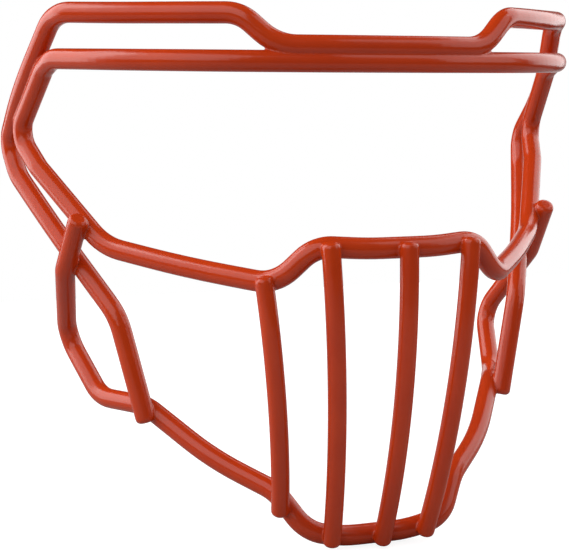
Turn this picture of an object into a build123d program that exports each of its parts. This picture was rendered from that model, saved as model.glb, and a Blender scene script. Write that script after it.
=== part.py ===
"""Football helmet facemask of coated steel wire.

Seven bent wires are welded where they meet, and each carries a thick smooth coating.
+Z is up and the mask faces -Y. The wearer looks out through the eye wire, and the
mask's own middle plane is X = 0. The origin is the middle of the whole mask.
"""

import os
from math import atan, degrees, radians, tan

from build123d import *

os.makedirs("parts", exist_ok=True)

# Size of the whole frame, between the middles of the wires
half_width = 109.0  # middle plane to the widest bend of a cheek leg
depth = 105.0  # brow to the rearmost bend, from front to back
height = 164.5  # chin wire to eye wire at the brow
brow_forward = 41.87  # brow in front of the origin
brow_above = 74.97  # brow above the origin

# Wire and coating
frame_core = 5.0  # steel of the brow, eye and chin wires
frame_coat = 1.15  # coating around it
bar_core = 4.2  # steel of the upright bars
bar_coat = 1.1
weld_gap = 0.1  # left between two wires, which the weld fills
frame_weld_width = 3.8
bar_weld_width = 2.4
butt_weld_share = 0.38  # of the eye wire's lower cheek run, where its ends meet
butt_weld_length = 1.2
butt_weld_bead = 0.2  # how far the bead stands out of the wire
end_round_share = 0.5  # rounding of a coated end, of the coated radius

# Bends of the wires, each at the middle of the wire
tight_bend = 9.5
close_bend = 12.5
round_bend = 15.0
easy_bend = 17.5
long_bend = 28.0
brow_bend = 60.0
largest_bend = None  # as wide as the two runs beside it allow
tangent_share = 0.46  # most of a run that one bend may use

# Corners of the right half, each as shares of half_width, of depth behind the brow
# and of height above the brow
eye_corner_shares = [
    (0.0, 0.0, 0.0),
    (0.20, 0.0, 0.0),
    (0.532, 0.085, 0.0),
    (0.771, 0.301, 0.0),
    (0.920, 0.594, 0.0),
    (0.934, 0.678, -0.022),
    (0.987, 0.893, -0.169),
    (0.940, 0.770, -0.241),
    (0.781, 0.492, -0.398),
    (0.581, 0.214, -0.425),
    (0.372, -0.045, -0.442),
    (0.266, -0.104, -0.363),
    (0.110, -0.136, -0.369),
    (0.0, -0.136, -0.369),
]
eye_bends = [
    brow_bend,
    largest_bend,
    largest_bend,
    close_bend,
    tight_bend,
    close_bend,
    round_bend,
    long_bend,
    largest_bend,
    round_bend,
    close_bend,
    largest_bend,
]

# The brow wire lies on the eye wire, climbs off it and turns down into a cheek leg
seam_end_share = 0.44  # of the eye wire's second run, where the brow wire climbs
seam_split_share = 0.5  # of the brow wire's run before its climb, where the cut changes
brow_corner_shares = [
    (0.447, 0.088, 0.095),
    (0.569, 0.185, 0.095),
    (0.752, 0.362, 0.095),
    (0.894, 0.540, 0.097),
    (0.920, 0.617, 0.082),
]
cheek_corner_shares = [
    (1.003, 1.001, -0.190),
    (0.981, 0.950, -0.265),
    (0.886, 0.753, -0.386),
    (0.738, 0.490, -0.553),
]
brow_bends = [
    brow_bend,
    easy_bend,
    close_bend,
    largest_bend,
    largest_bend,
    close_bend,
    easy_bend,
    largest_bend,
    round_bend,
    round_bend,
    largest_bend,
    easy_bend,
]
temple_touch_share = 0.45  # of the eye wire's temple run, where the leg touches it
temple_side_shares = (0.65, 0.50, 0.56)  # way from the eye wire to the leg there
seam_tack_share = 0.6  # of the eye wire's first run, where a tack holds the seam

# The chin wire starts on the eye wire, crosses the cheek leg and loops round the side
loop_touch_share = 0.75  # of the eye wire's lower temple run
leg_cross_share = 0.35  # of the cheek leg's lower run
loop_overhang = 5.6  # end of the chin wire past its weld
loop_corner_reach = 2.4  # upper corner of the loop past the cheek leg
chin_corner_shares = [
    (0.825, 0.914, -0.641),
    (0.753, 0.697, -0.762),
    (0.644, 0.492, -0.757),
    (0.481, 0.256, -0.848),
    (0.315, 0.105, -0.903),
    (0.237, 0.022, -0.981),
    (0.110, 0.024, -1.0),
    (0.0, 0.024, -1.0),
]
chin_bends = [
    close_bend,
    tight_bend,
    round_bend,
    easy_bend,
    largest_bend,
    easy_bend,
    easy_bend,
    largest_bend,
]
jaw_touch_share = 0.15  # of the chin wire's jaw run, where the cheek leg ends
leg_overhang = 1.2  # end of the cheek leg past the place where it touches
leg_weld_rise = 2.0  # how far up the leg its weld leans, away from its end

# Upright bars from the wearer's right to the left: side of the middle plane, place of
# the upper and lower weld along the eye and chin wire's half, share of the bow, and
# share of the overhang at the bottom, where the first bar stops short
bar_shares = [
    (-1, 0.8605, 0.8395, 0.75, -0.5),
    (-1, 0.928, 0.918, 0.8, 0.9),
    (1, 0.997, 0.996, 1.0, 0.6),
    (1, 0.930, 0.922, 0.9, 0.4),
]
bar_bow = 6.6  # how far a bar bulges forward
bar_straight_share = 0.05  # of its arc, left straight at each end
bar_top_overhang = 1.8  # end of a bar past the place where it touches
bar_bottom_overhang = 1.0
bar_weld_rise = 3.0  # how far up a bar its lower weld leans, away from its end

frame_outside = frame_core / 2 + frame_coat
bar_outside = bar_core / 2 + bar_coat
frame_spacing = frame_core + weld_gap
bar_spacing = (frame_core + bar_core) / 2 + weld_gap
middle_plane = Plane.YZ
up = Vector(0, 0, 1)
down = Vector(0, 0, -1)
forward = Vector(0, -1, 0)


def place(shares):
    """Turn shares of the frame's sizes into a point."""
    across, back, rise = shares
    return Vector(across * half_width, back * depth - brow_forward, rise * height + brow_above)


def between(start, end, share):
    """Give the point at a share of the way from start to end."""
    return start + (end - start) * share


def mirrored(point, side):
    """Carry a point or a direction to the chosen side of the middle plane."""
    return Vector(side * point.X, point.Y, point.Z)


def fitted_bends(corners, bends):
    """Keep each bend as wide as wanted where its two runs have room for it."""
    fitted = []
    for before, corner, after, bend in zip(corners, corners[1:], corners[2:], bends):
        turn = (corner - before).get_angle(after - corner)
        shorter_run = min((corner - before).length, (after - corner).length)
        widest = tangent_share * shorter_run / tan(radians(turn) / 2)
        fitted.append(widest if bend is largest_bend else min(bend, widest))
    return fitted


def bent_path(corners, bends):
    """Join the corners by straight runs and round each corner with its bend."""
    with BuildLine() as path:
        FilletPolyline(corners, radius=fitted_bends(corners, bends))
    return path.wire()


def lengthened(corners, at_start, at_end):
    """Carry the two ends of a path further out along their runs."""
    first = corners[0] + (corners[0] - corners[1]).normalized() * at_start
    last = corners[-1] + (corners[-1] - corners[-2]).normalized() * at_end
    return [first, *corners[1:-1], last]


# Eye wire, a closed loop
eye_corners = [place(shares) for shares in eye_corner_shares]
eye_path = bent_path(eye_corners, eye_bends)

# Chin wire: its front run touches the eye wire and the cheek leg from outside
cheek_corners = [place(shares) for shares in cheek_corner_shares]
loop_seat = between(eye_corners[7], eye_corners[8], loop_touch_share)
leg_seat = between(cheek_corners[2], cheek_corners[3], leg_cross_share)
loop_outward = (eye_corners[8] - eye_corners[7]).cross(leg_seat - loop_seat).normalized()
loop_weld = loop_seat + loop_outward * frame_spacing
leg_weld = leg_seat + loop_outward * frame_spacing
loop_way = (leg_weld - loop_weld).normalized()
chin_corners = [
    loop_weld - loop_way * loop_overhang,
    leg_weld + loop_way * loop_corner_reach,
    *[place(shares) for shares in chin_corner_shares],
]
chin_path = bent_path(chin_corners, chin_bends)

# Brow wire: along the eye wire's brow, up, back, and down the cheek
up_step = Vector(0, 0, frame_spacing)
temple_run = eye_corners[6] - eye_corners[5]
temple_seat = between(eye_corners[5], eye_corners[6], temple_touch_share)
temple_side = Vector(*temple_side_shares)
temple_way = temple_run.normalized()
temple_outward = (temple_side - temple_way * temple_side.dot(temple_way)).normalized()
temple_weld = temple_seat + temple_outward * frame_spacing
jaw_seat = between(chin_corners[4], chin_corners[5], jaw_touch_share)
jaw_outward = (chin_corners[5] - chin_corners[4]).cross(jaw_seat - cheek_corners[3]).normalized()
jaw_weld = jaw_seat + jaw_outward * frame_spacing
leg_way = (jaw_weld - cheek_corners[3]).normalized()
brow_corners = [
    eye_corners[0] + up_step,
    eye_corners[1] + up_step,
    between(eye_corners[1], eye_corners[2], seam_end_share) + up_step,
    *[place(shares) for shares in brow_corner_shares],
    temple_weld,
    *cheek_corners,
    jaw_weld + leg_way * leg_overhang,
]
brow_path = bent_path(brow_corners, brow_bends)


def bowed_path(top, belly, bottom, top_overhang, bottom_overhang):
    """Run an arc through three points, straight near both ends and on past them."""
    with BuildLine() as path:
        arc = ThreePointArc(top, belly, bottom, mode=Mode.PRIVATE)
        straight = arc.length * bar_straight_share
        bend = arc.trim(bar_straight_share, 1 - bar_straight_share)
        Line(bend @ 0 - bend % 0 * (straight + top_overhang), bend @ 0)
        add(bend)
        Line(bend @ 1, bend @ 1 + bend % 1 * (straight + bottom_overhang))
    return path.wire()


def follow(pieces, across, section):
    """Carry a section along joined runs and bends, with its first side kept towards across."""
    with BuildPart() as shape:
        for piece in pieces:
            way = piece % 0
            across = (across - way * across.dot(way)).normalized()
            with BuildSketch(Plane(origin=piece @ 0, x_dir=across, z_dir=way)):
                add(section)
            if piece.geom_type == GeomType.LINE:
                extrude(amount=piece.length)
            else:
                centre = piece.arc_center
                turn_axis = Axis(centre, way.cross(centre - piece @ 0))
                turn = degrees(piece.length / piece.radius)
                revolve(axis=turn_axis, revolution_arc=turn)
                across = across.rotate(Axis((0, 0, 0), turn_axis.direction), turn)
    return shape.part


def round_wire(pieces, radius, across):
    """Make a round wire along joined runs and bends."""
    return follow(pieces, across, Circle(radius))


def with_round_ends(wire, tips, radius):
    """Round a coated wire at its free ends."""
    with BuildPart() as rounded:
        add(wire)
        for tip in tips:
            end_face = rounded.faces().sort_by_distance(tip)[0]
            fillet(end_face.edges(), end_round_share * radius)
    return rounded.part


def rod(start, end, radius):
    """Make a straight round piece between two points."""
    with BuildPart() as piece:
        with BuildSketch(Plane(origin=start, z_dir=end - start)):
            Circle(radius)
        extrude(amount=(end - start).length)
    return piece.part


def without(solid, others):
    """Cut other solids out of one."""
    with BuildPart() as rest:
        add(solid)
        for other in others:
            add(other, mode=Mode.SUBTRACT)
    return rest.part


def whole(half):
    """Join a right half to its mirror image."""
    with BuildPart() as both:
        add(half)
        mirror(about=middle_plane)
    return both.part


def write(solid, label):
    """Name a piece and write it."""
    solid.label = label
    export_step(solid, f"parts/{label}.step")


# Half of each frame wire: its steel, and the tube that its coating fills
core_radius = frame_core / 2
eye_steel = round_wire(eye_path.edges(), core_radius, down)
eye_tube = round_wire(eye_path.edges(), frame_outside, down)
brow_steel_corners = lengthened(brow_corners, 0, -frame_coat)
brow_steel = round_wire(bent_path(brow_steel_corners, brow_bends).edges(), core_radius, up)
brow_tube = round_wire(brow_path.edges(), frame_outside, up)
brow_tube = with_round_ends(brow_tube, [brow_path @ 1], frame_outside)
chin_steel_corners = lengthened(chin_corners, -frame_coat, 0)
chin_steel = round_wire(bent_path(chin_steel_corners, chin_bends).edges(), core_radius, up)
chin_tube = round_wire(chin_path.edges(), frame_outside, up)
chin_tube = with_round_ends(chin_tube, [chin_path @ 0], frame_outside)

# Welds between the frame wires, the same on both sides
seam_seat = between(eye_corners[0], eye_corners[1], seam_tack_share)
frame_joints = {
    "brow_seam_weld": (seam_seat, seam_seat + up_step),
    "temple_weld": (temple_seat, temple_weld),
    "loop_weld": (loop_seat, loop_weld),
    "cheek_weld": (leg_seat, leg_weld),
    "jaw_weld": (jaw_seat, jaw_weld - leg_way * leg_weld_rise),
}
frame_welds = {}
for name, (inner, outer) in frame_joints.items():
    nugget = rod(inner, outer, frame_weld_width / 2)
    frame_welds[name] = without(nugget, [eye_steel, brow_steel, chin_steel])

# The butt weld that closes the eye wire, on the wearer's left
butt_middle = between(eye_corners[8], eye_corners[9], butt_weld_share)
butt_half = (eye_corners[9] - eye_corners[8]).normalized() * (butt_weld_length / 2)
butt_radius = core_radius + butt_weld_bead
eye_butt_weld = rod(butt_middle - butt_half, butt_middle + butt_half, butt_radius)

# Upright bars, each welded to the front of the eye and the chin wire
eye_core = without(whole(eye_steel), [eye_butt_weld])
chin_core = whole(chin_steel)
bar_cores, bar_tubes, bar_welds = [], [], {}
for number, shares in enumerate(bar_shares, start=1):
    side, top_share, bottom_share, bow_share, overhang_share = shares
    top_seat = mirrored(eye_path @ top_share, side)
    bottom_seat = mirrored(chin_path @ bottom_share, side)
    drop = bottom_seat - top_seat
    bow = bar_bow * bow_share
    lean = drop.length * tan(2 * atan(2 * bow / drop.length))
    top_way = drop - Vector(0, lean, 0)
    bottom_way = drop + Vector(0, lean, 0)
    top_back = top_way.cross(mirrored(eye_path % top_share, side)).normalized() * side
    bottom_back = bottom_way.cross(mirrored(chin_path % bottom_share, side)).normalized() * side
    top = top_seat - top_back * bar_spacing
    bottom = bottom_seat - bottom_back * bar_spacing
    belly = between(top, bottom, 1 / 2) - Vector(0, bow, 0)
    overhang = bar_bottom_overhang * overhang_share
    tube_path = bowed_path(top, belly, bottom, bar_top_overhang, overhang)
    steel_path = bowed_path(top, belly, bottom, bar_top_overhang - bar_coat, overhang - bar_coat)
    core = round_wire(steel_path.edges(), bar_core / 2, forward)
    tube = round_wire(tube_path.edges(), bar_outside, forward)
    bar_cores.append(core)
    bar_tubes.append(with_round_ends(tube, [tube_path @ 0, tube_path @ 1], bar_outside))
    weld_end = bottom - bottom_way.normalized() * bar_weld_rise
    for end_name, seat, end in (("top", top_seat, top), ("bottom", bottom_seat, weld_end)):
        nugget = rod(seat, end, bar_weld_width / 2)
        bar_welds[f"bar_{number}_{end_name}_weld"] = without(nugget, [eye_core, chin_core, core])

# Along the seam a level cut half way between the eye and the brow wire parts their
# coatings, and past its split the climbing brow wire cuts the eye wire's coating
first_run, front_bend, climb_run, *brow_leg = brow_path.edges()
with BuildLine() as level_run:
    Line(climb_run @ 0, climb_run @ 1 + climb_run % 1 * 2 * frame_outside)
slab = Rectangle(frame_outside, 2 * frame_outside)
low_slab = Pos(-(frame_spacing + frame_outside) / 2, 0) * slab
high_slab = Pos((frame_outside - frame_spacing) / 2, 0) * slab
under_seam = follow([first_run, front_bend, level_run.edge()], up, low_slab)
over_seam = follow([first_run, front_bend, climb_run.trim(0, seam_split_share)], up, high_slab)
climbing_tube = round_wire([climb_run.trim(seam_split_share, 1), *brow_leg], frame_outside, up)
climbing_tube = without(climbing_tube, [under_seam])
temple_steel = round_wire(eye_path.edges()[3:], core_radius, down)

# Coating of each wire, cut where it meets steel, a weld or another wire's coating
nuggets = list(frame_welds.values())
brow_half = without(brow_tube, [under_seam, brow_steel, temple_steel, chin_steel, *nuggets])
eye_half = without(eye_tube, [eye_steel, chin_steel, over_seam, climbing_tube, *nuggets])
chin_half = without(chin_tube, [chin_steel, *nuggets, brow_tube, eye_tube])
bar_steel = [*bar_cores, *bar_welds.values()]

write(eye_core, "eye_wire_core")
write(whole(brow_steel), "brow_wire_core")
write(chin_core, "chin_wire_core")
write(without(whole(eye_half), [eye_butt_weld, *bar_steel]), "eye_wire_coating")
write(whole(brow_half), "brow_wire_coating")
write(without(whole(chin_half), bar_steel), "chin_wire_coating")
write(eye_butt_weld, "eye_wire_butt_weld")
for name, nugget in frame_welds.items():
    write(nugget, f"{name}_left")
    write(mirror(nugget, about=middle_plane), f"{name}_right")
for name, nugget in bar_welds.items():
    write(nugget, name)
whole_tubes = [whole(eye_tube), whole(chin_tube)]
for number, (core, tube) in enumerate(zip(bar_cores, bar_tubes), start=1):
    write(core, f"bar_{number}_core")
    coating = without(tube, [core, *bar_welds.values(), *whole_tubes])
    write(coating, f"bar_{number}_coating")
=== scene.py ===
"""Looks of a football helmet facemask: the coating's skin, materials, studio and camera."""

from math import cos, pi, radians

import bmesh
import bpy
from mathutils import Matrix, Vector


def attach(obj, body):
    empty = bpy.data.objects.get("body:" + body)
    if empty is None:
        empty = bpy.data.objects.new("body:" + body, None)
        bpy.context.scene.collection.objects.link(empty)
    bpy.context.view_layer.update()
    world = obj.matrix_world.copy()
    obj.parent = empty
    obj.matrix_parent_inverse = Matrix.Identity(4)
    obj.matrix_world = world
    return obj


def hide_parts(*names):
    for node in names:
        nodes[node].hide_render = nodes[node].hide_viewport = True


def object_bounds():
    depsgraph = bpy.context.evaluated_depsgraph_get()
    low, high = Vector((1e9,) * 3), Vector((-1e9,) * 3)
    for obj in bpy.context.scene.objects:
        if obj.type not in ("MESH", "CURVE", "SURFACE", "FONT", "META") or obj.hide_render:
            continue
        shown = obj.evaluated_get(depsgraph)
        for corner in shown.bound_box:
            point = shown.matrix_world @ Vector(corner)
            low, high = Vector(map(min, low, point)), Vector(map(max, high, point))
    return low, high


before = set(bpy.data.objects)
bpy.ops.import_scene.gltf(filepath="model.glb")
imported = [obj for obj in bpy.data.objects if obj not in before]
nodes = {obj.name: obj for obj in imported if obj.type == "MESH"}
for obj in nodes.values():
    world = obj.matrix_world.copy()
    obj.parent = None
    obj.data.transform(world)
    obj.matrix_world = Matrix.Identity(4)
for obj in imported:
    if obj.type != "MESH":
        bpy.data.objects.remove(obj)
cad_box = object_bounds()
low, high = cad_box
mask_centre = (low + high) / 2

# Skin of the coating
skin_voxel = 0.00038  # metres between two points of the skin
skin_same_point = skin_voxel / 100  # CAD points nearer to each other than this are one
skin_smoothing = 5  # rounds, which soften each seam and end a little
skin_smoothing_share = 0.5  # of the way to the neighbours' middle, each round

# Noise values between which a blotch fades into the next one
noise_range = (0.35, 0.65)

# Coating: a warm orange red with a faint mottle and orange peel, sizes in metres
coating_colour = (0.53, 0.042, 0.004, 1.0)
coating_dark_colour = (0.49, 0.036, 0.003, 1.0)
coating_roughness = (0.17, 0.23)
coating_ior = 1.5
coating_mottle_size = 0.02
coating_mottle_detail = 4.0
coating_peel_size = 0.006
coating_peel_height = 0.00001

# Steel and welds inside the coating: colour, darker colour, roughness and grain in metres
metals = {
    "drawn_steel": ((0.50, 0.50, 0.52, 1.0), (0.36, 0.36, 0.37, 1.0), (0.3, 0.45), 0.002),
    "weld_metal": ((0.34, 0.32, 0.30, 1.0), (0.20, 0.18, 0.17, 1.0), (0.4, 0.6), 0.001),
}
metal_tone_detail = 5.0
metal_gloss_detail = 2.0
metal_relief_detail = 3.0
metal_fineness = 4  # times that gloss and relief are finer than the tone
metal_flatness = 60  # times that a grain is wider than it is high

# Camera: metres and degrees in the frame of the mask
camera_place = Vector((-0.19895, -0.4909, 0.0772))
camera_turn = 19.98  # from straight ahead towards the wearer's left
camera_dip = 9.03
camera_roll = 0.5
camera_lens = 91.68  # millimetres, as the sensor's width is
camera_sensor = 36.0
camera_shift = (0.0, 0.0168)
camera_clip_start = 0.01

# Studio, sizes in metres
floor_colour = (0.32, 0.32, 0.32, 1.0)
floor_seen_glow = 0.88  # what the camera sees of it besides the lamps' light
floor_half = 0.5
floor_gap = 0.0005  # under the mask
white = (1.0, 1.0, 1.0, 1.0)

# White backdrop behind the mask, as gloss shows it, in a dim room
backdrop_half_angle = 16  # degrees
backdrop_edge = 0.03  # half the width of its soft edge, in cosine
room_level = 0.02  # in gloss
ambient_level = 0.32  # on matt surfaces

# Lamps, seen from the camera: degrees to the right of it, degrees above the horizon,
# distance, width and height in metres, and radiance, where 1 is as bright as white
lamps = {
    "left_box": (-48, 36, 1.0, 1.5, 1.1, 1.45),
    "left_side": (-105, 20, 0.9, 0.8, 1.2, 2.8),
    "right_box": (74, 34, 0.95, 0.6, 1.0, 1.2),
    "right_side": (128, 26, 0.9, 0.8, 1.1, 1.9),
}


def principled(name):
    """Make a material and give its node tree and main shader."""
    material = bpy.data.materials.new(name)
    material.use_nodes = True
    tree = material.node_tree
    return material, tree, tree.nodes["Principled BSDF"]


def noise(tree, size, detail=0.0):
    """Noise in the piece's own coordinates, with blotches of about the given size."""
    place = tree.nodes.new("ShaderNodeTexCoord")
    texture = tree.nodes.new("ShaderNodeTexNoise")
    texture.inputs["Scale"].default_value = 1 / size
    texture.inputs["Detail"].default_value = detail
    tree.links.new(place.outputs["Object"], texture.inputs["Vector"])
    return texture.outputs["Fac"]


def spread(tree, value, wanted=(0.0, 1.0), given=noise_range):
    """Map a given range of values, a noise's if none is named, onto a wanted one."""
    mapper = tree.nodes.new("ShaderNodeMapRange")
    for end, source, target in zip(("Min", "Max"), given, wanted):
        mapper.inputs["From " + end].default_value = source
        mapper.inputs["To " + end].default_value = target
    tree.links.new(value, mapper.inputs["Value"])
    return mapper.outputs["Result"]


def mixed(tree, factor, first, second):
    """Mix two colours by a factor."""
    mixer = tree.nodes.new("ShaderNodeMix")
    mixer.data_type = "RGBA"
    mixer.inputs["A"].default_value = first
    mixer.inputs["B"].default_value = second
    tree.links.new(factor, mixer.inputs["Factor"])
    return mixer.outputs["Result"]


def bumped(tree, shader, height, distance):
    """Press a height into the shader's normal."""
    bump = tree.nodes.new("ShaderNodeBump")
    bump.inputs["Distance"].default_value = distance
    bump.inputs["Strength"].default_value = 1.0
    tree.links.new(height, bump.inputs["Height"])
    tree.links.new(bump.outputs["Normal"], shader.inputs["Normal"])


def coating_material():
    """Thick smooth plastic coating with a faint orange peel."""
    material, tree, shader = principled("coating_plastic")
    mottle = spread(tree, noise(tree, coating_mottle_size, coating_mottle_detail))
    colour = mixed(tree, mottle, coating_colour, coating_dark_colour)
    gloss = spread(tree, noise(tree, coating_mottle_size), coating_roughness)
    tree.links.new(colour, shader.inputs["Base Color"])
    tree.links.new(gloss, shader.inputs["Roughness"])
    shader.inputs["IOR"].default_value = coating_ior
    bumped(tree, shader, noise(tree, coating_peel_size), coating_peel_height)
    return material


def metal_material(name):
    """Bare metal with uneven tone."""
    light_colour, dark_colour, roughness, grain = metals[name]
    fine_grain = grain / metal_fineness
    material, tree, shader = principled(name)
    tone = spread(tree, noise(tree, grain, metal_tone_detail))
    colour = mixed(tree, tone, light_colour, dark_colour)
    gloss = spread(tree, noise(tree, fine_grain, metal_gloss_detail), roughness)
    relief = noise(tree, fine_grain, metal_relief_detail)
    tree.links.new(colour, shader.inputs["Base Color"])
    tree.links.new(gloss, shader.inputs["Roughness"])
    shader.inputs["Metallic"].default_value = 1.0
    bumped(tree, shader, relief, grain / metal_flatness)
    return material


def joined_nodes():
    """Gather the meshes of all CAD nodes in one new mesh."""
    gathered = bmesh.new()
    for name in sorted(nodes):
        gathered.from_mesh(nodes[name].data)
    bmesh.ops.remove_doubles(gathered, verts=gathered.verts, dist=skin_same_point)
    mesh = bpy.data.meshes.new("skin")
    gathered.to_mesh(mesh)
    gathered.free()
    return mesh


def apply_modifiers(piece):
    """Apply the modifiers of a piece to its mesh."""
    bpy.context.view_layer.update()
    scene_state = bpy.context.evaluated_depsgraph_get()
    shaped = bpy.data.meshes.new_from_object(piece.evaluated_get(scene_state))
    piece.modifiers.clear()
    piece.data = shaped


def keep_outer_shell(piece):
    """Keep the one shell of a piece that reaches furthest, and drop those inside it."""
    shells = bmesh.new()
    shells.from_mesh(piece.data)
    outermost = max(shells.verts, key=lambda vertex: vertex.co.x)
    outermost.tag = True
    waiting = [outermost]
    while waiting:
        for edge in waiting.pop().link_edges:
            for vertex in edge.verts:
                if not vertex.tag:
                    vertex.tag = True
                    waiting.append(vertex)
    inside = [vertex for vertex in shells.verts if not vertex.tag]
    bmesh.ops.delete(shells, geom=inside, context="VERTS")
    shells.to_mesh(piece.data)
    shells.free()


def coating_skin(material):
    """One continuous skin over all wires, drawn soft over each seam and end."""
    wires = bpy.data.objects.new("wires", joined_nodes())
    skin = bpy.data.objects.new("wire_coating", wires.data.copy())
    for piece in (wires, skin):
        bpy.context.scene.collection.objects.link(piece)
    remesh = skin.modifiers.new("remesh", "REMESH")
    remesh.mode = "VOXEL"
    remesh.voxel_size = skin_voxel
    apply_modifiers(skin)
    keep_outer_shell(skin)
    settle = skin.modifiers.new("settle", "SHRINKWRAP")
    settle.target = wires
    soften = skin.modifiers.new("soften", "SMOOTH")
    soften.factor = skin_smoothing_share
    soften.iterations = skin_smoothing
    apply_modifiers(skin)
    bpy.data.objects.remove(wires)
    skin.data.materials.append(material)
    for face in skin.data.polygons:
        face.use_smooth = True
    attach(skin, "root")
    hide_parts(*[name for name in sorted(nodes) if name.endswith("_coating")])


def switched(tree, share, off, on):
    """Take one of two levels, each a number or a socket, by a share of zero or one."""
    mixer = tree.nodes.new("ShaderNodeMix")
    tree.links.new(share, mixer.inputs["Factor"])
    for socket, level in (("A", off), ("B", on)):
        if isinstance(level, float):
            mixer.inputs[socket].default_value = level
        else:
            tree.links.new(level, mixer.inputs[socket])
    return mixer.outputs["Result"]


def paper_material(name):
    """Matt paper, which the camera sees as white where no shadow lies."""
    material, tree, shader = principled(name)
    shader.inputs["Base Color"].default_value = floor_colour
    shader.inputs["Roughness"].default_value = 1.0
    shader.inputs["Specular IOR Level"].default_value = 0.0
    shader.inputs["Emission Color"].default_value = white
    rays = tree.nodes.new("ShaderNodeLightPath")
    glow = spread(tree, rays.outputs["Is Camera Ray"], (0.0, floor_seen_glow), (0.0, 1.0))
    tree.links.new(glow, shader.inputs["Emission Strength"])
    return material


def floor():
    """A plain pale floor just under the mask."""
    mesh = bpy.data.meshes.new("floor")
    level = low.z - floor_gap
    ways = [(-1, -1), (1, -1), (1, 1), (-1, 1)]
    corners = [(x * floor_half, y * floor_half, level) for x, y in ways]
    mesh.from_pydata(corners, [], [(0, 1, 2, 3)])
    mesh.materials.append(paper_material("floor_paper"))
    piece = bpy.data.objects.new("floor", mesh)
    bpy.context.scene.collection.objects.link(piece)


def surroundings():
    """White for the camera, and for gloss a white backdrop in a dim room."""
    world = bpy.data.worlds.new("studio")
    world.use_nodes = True
    bpy.context.scene.world = world
    tree = world.node_tree
    background = tree.nodes["Background"]
    background.inputs["Color"].default_value = white
    rays = tree.nodes.new("ShaderNodeLightPath")
    gloss_shows = tree.nodes.new("ShaderNodeMath")
    gloss_shows.operation = "MAXIMUM"
    tree.links.new(rays.outputs["Is Glossy Ray"], gloss_shows.inputs[0])
    tree.links.new(rays.outputs["Is Transmission Ray"], gloss_shows.inputs[1])
    way = tree.nodes.new("ShaderNodeTexCoord")
    towards = tree.nodes.new("ShaderNodeVectorMath")
    towards.operation = "DOT_PRODUCT"
    towards.inputs[1].default_value = (mask_centre - camera_place).normalized()
    tree.links.new(way.outputs["Generated"], towards.inputs[0])
    edge = cos(radians(backdrop_half_angle))
    soft_edge = (edge - backdrop_edge, edge + backdrop_edge)
    backdrop = spread(tree, towards.outputs["Value"], (room_level, 1.0), soft_edge)
    unseen = switched(tree, gloss_shows.outputs["Value"], ambient_level, backdrop)
    level = switched(tree, rays.outputs["Is Camera Ray"], unseen, 1.0)
    tree.links.new(level, background.inputs["Strength"])


def lamp(name, side, rise, distance, width, height, radiance):
    """A soft lamp aimed at the mask, placed as seen from the camera."""
    data = bpy.data.lights.new(name, "AREA")
    data.shape = "RECTANGLE"
    data.size = width
    data.size_y = height
    data.energy = radiance * pi * width * height
    aside = Matrix.Rotation(radians(side - camera_turn), 4, "Z")
    upwards = Matrix.Rotation(radians(-rise), 4, "X")
    piece = bpy.data.objects.new(name, data)
    piece.location = mask_centre + aside @ upwards @ Vector((0, -distance, 0))
    piece.rotation_mode = "QUATERNION"
    piece.rotation_quaternion = (mask_centre - piece.location).to_track_quat("-Z", "Y")
    bpy.context.scene.collection.objects.link(piece)


def camera():
    """The photograph's viewpoint."""
    data = bpy.data.cameras.new("camera")
    data.lens = camera_lens
    data.sensor_width = camera_sensor
    data.sensor_fit = "HORIZONTAL"
    data.shift_x, data.shift_y = camera_shift
    data.clip_start = camera_clip_start
    level = Matrix.Rotation(radians(90 - camera_dip), 4, "X")
    turn = Matrix.Rotation(radians(-camera_turn), 4, "Z")
    roll = Matrix.Rotation(radians(camera_roll), 4, "Z")
    piece = bpy.data.objects.new("camera", data)
    piece.matrix_world = Matrix.Translation(camera_place) @ turn @ level @ roll
    bpy.context.scene.collection.objects.link(piece)
    bpy.context.scene.camera = piece


bpy.context.scene.view_settings.view_transform = "Standard"
coating = coating_material()
steel = metal_material("drawn_steel")
weld = metal_material("weld_metal")
coating_skin(coating)
for name, node in nodes.items():
    node.data.materials.clear()
    if name.endswith("_coating"):
        node.data.materials.append(coating)
    elif name.endswith("_core"):
        node.data.materials.append(steel)
    else:
        node.data.materials.append(weld)
floor()
surroundings()
for name, placing in lamps.items():
    lamp(name, *placing)
camera()
